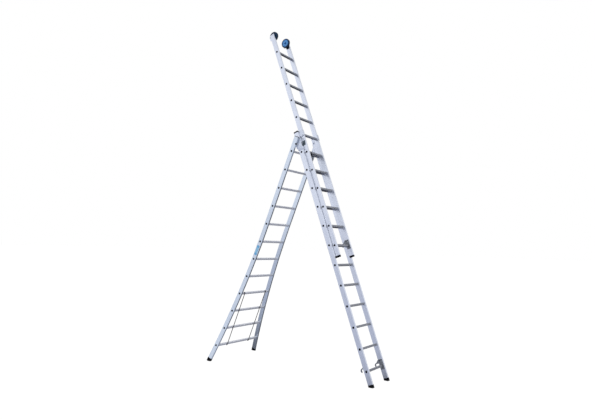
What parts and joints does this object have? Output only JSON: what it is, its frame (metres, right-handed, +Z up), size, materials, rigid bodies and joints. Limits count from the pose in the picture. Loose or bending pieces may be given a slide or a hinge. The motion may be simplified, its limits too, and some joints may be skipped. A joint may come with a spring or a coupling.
{
  "type": "extension ladder",
  "caption": "Three-section aluminium combination ladder standing as an A-frame: flared rear leg, hinged middle leg, sliding top section with two wall wheels.",
  "frame": {"origin": "on the floor, midway between the outer edges of the front and rear feet, on the middle plane", "axes": "+Z up, +X to the right across the rungs, -Y towards the side that is climbed"},
  "size_m": [1.059, 2.6124, 4.9927],
  "materials": {
    "stile_aluminium": "extruded, bright mill finish",
    "rung_aluminium": "extruded, grooved tread",
    "bracket_aluminium": "pressed, satin",
    "hook_steel": "zinc plated, dull",
    "bright_steel": "drawn rod",
    "dark_steel": "phosphated",
    "foot_rubber": "moulded, matt",
    "black_plastic": "moulded, matt",
    "tyre_rubber": "moulded, soft",
    "wheel_blue": "moulded, semi gloss",
    "label_film": "printed film with no lettering"
  },
  "bodies": {
    "rear_section": {"rear_stile_left": "stile_aluminium", "rear_stile_right": "stile_aluminium", "rear_foot_left": "foot_rubber", "rear_foot_right": "foot_rubber", "rear_hinge_ear_left": "bracket_aluminium", "rear_hinge_ear_right": "bracket_aluminium", "rear_top_caps": "black_plastic", "rear_plugs": "black_plastic", "rear_rivets": "dark_steel", "rear_guide_rods": "bright_steel", "side_label": "label_film", "rear_rung_01": "rung_aluminium", "rear_rung_02": "rung_aluminium", "rear_rung_03": "rung_aluminium", "rear_rung_04": "rung_aluminium", "rear_rung_05": "rung_aluminium", "rear_rung_06": "rung_aluminium", "rear_rung_07": "rung_aluminium", "rear_rung_08": "rung_aluminium", "rear_rung_09": "rung_aluminium", "rear_rung_10": "rung_aluminium", "rear_rung_11": "rung_aluminium", "rear_rung_12": "rung_aluminium"},
    "hinge_link": {"hinge_bracket_left": "bracket_aluminium", "hinge_bracket_right": "bracket_aluminium", "hinge_pins": "dark_steel"},
    "middle_section": {"middle_stile_left": "stile_aluminium", "middle_stile_right": "stile_aluminium", "middle_foot_left": "foot_rubber", "middle_foot_right": "foot_rubber", "middle_hook_left": "hook_steel", "middle_hook_right": "hook_steel", "middle_guide_left": "bracket_aluminium", "middle_guide_right": "bracket_aluminium", "middle_top_caps": "black_plastic", "middle_plugs": "black_plastic", "middle_rivets": "dark_steel", "middle_rungs_01_03": "rung_aluminium", "middle_rungs_04_06": "rung_aluminium", "middle_rungs_07_09": "rung_aluminium", "middle_rungs_10_12": "rung_aluminium"},
    "front_section": {"front_stile_left": "stile_aluminium", "front_stile_right": "stile_aluminium", "front_hook_left": "hook_steel", "front_hook_right": "hook_steel", "front_bottom_caps": "foot_rubber", "front_top_caps": "black_plastic", "front_plugs": "black_plastic", "front_rivets": "dark_steel", "wheel_bracket_left": "black_plastic", "wheel_bracket_right": "black_plastic", "wheel_axles": "bright_steel", "front_rungs_01_03": "rung_aluminium", "front_rungs_04_06": "rung_aluminium", "front_rungs_07_09": "rung_aluminium", "front_rungs_10_12": "rung_aluminium"},
    "wheel_left": {"wheel_tyre_left": "tyre_rubber", "wheel_disc_left": "wheel_blue"},
    "wheel_right": {"wheel_tyre_right": "tyre_rubber", "wheel_disc_right": "wheel_blue"}
  },
  "joints": [
    {"name": "frame_fold", "type": "hinge", "parent": "rear_section", "child": "hinge_link", "pos_m": [0, -0.04045, 3.18827], "axis": [1, 0, 0], "range_deg": [0, 41.4]},
    {"name": "middle_slide", "type": "slide", "parent": "hinge_link", "child": "middle_section", "axis": [0, 0.3513, 0.9362], "range_m": [0, 1.82]},
    {"name": "front_slide", "type": "slide", "parent": "middle_section", "child": "front_section", "axis": [0, 0.3513, 0.9362], "range_m": [-1.68, 0.84]},
    {"name": "wheel_left_spin", "type": "hinge", "parent": "front_section", "child": "wheel_left", "pos_m": [-0.15, 0.51015, 4.92024], "axis": [1, 0, 0], "continuous": true},
    {"name": "wheel_right_spin", "type": "hinge", "parent": "front_section", "child": "wheel_right", "pos_m": [0.15, 0.51015, 4.92024], "axis": [1, 0, 0], "continuous": true}
  ]
}
